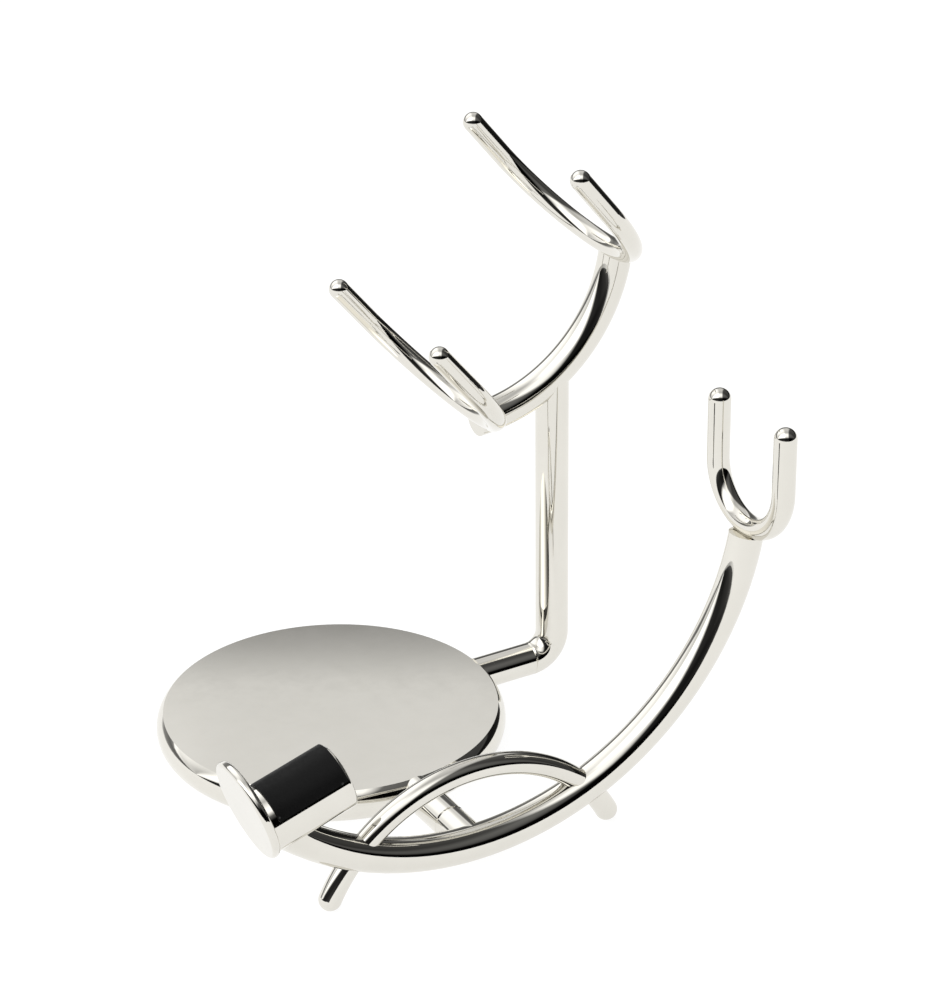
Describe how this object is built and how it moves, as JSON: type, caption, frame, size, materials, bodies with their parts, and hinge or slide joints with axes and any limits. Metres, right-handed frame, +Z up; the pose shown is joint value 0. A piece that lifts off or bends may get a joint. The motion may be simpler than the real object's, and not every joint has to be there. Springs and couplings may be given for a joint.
{
  "type": "cradle stand",
  "caption": "Bent-rod cradle stand: round plate, upright with two tilted forks on a curved crossbar, and a front arc carrying a sleeved rest barrel, stop disc and upright fork.",
  "frame": {"origin": "on the table, under the centre of the round plate", "axes": "+Z up; +X from the plate along the stub that carries the upright; -Y from the plate along the stub that carries the front arc"},
  "size_m": [0.1747, 0.1506, 0.1729],
  "materials": {
    "plate": "polished",
    "rod": "polished",
    "barrel": "polished",
    "sleeve": "smooth",
    "stud": "plain",
    "pad": "matte"
  },
  "bodies": {
    "root": {"base_plate": "plate", "base_pad": "pad", "post_stub": "rod", "post_stud": "stud", "post": "rod", "crossbar": "rod", "lower_fork": "rod", "upper_fork": "rod", "front_stub": "rod", "front_stud": "stud", "arc_boss": "rod", "front_arc": "rod", "front_fork": "rod", "leaf_arch": "rod", "left_leg": "rod", "right_leg": "rod", "rest_barrel": "barrel", "rest_sleeve": "sleeve", "stop_disc": "barrel"}
  },
  "joints": []
}
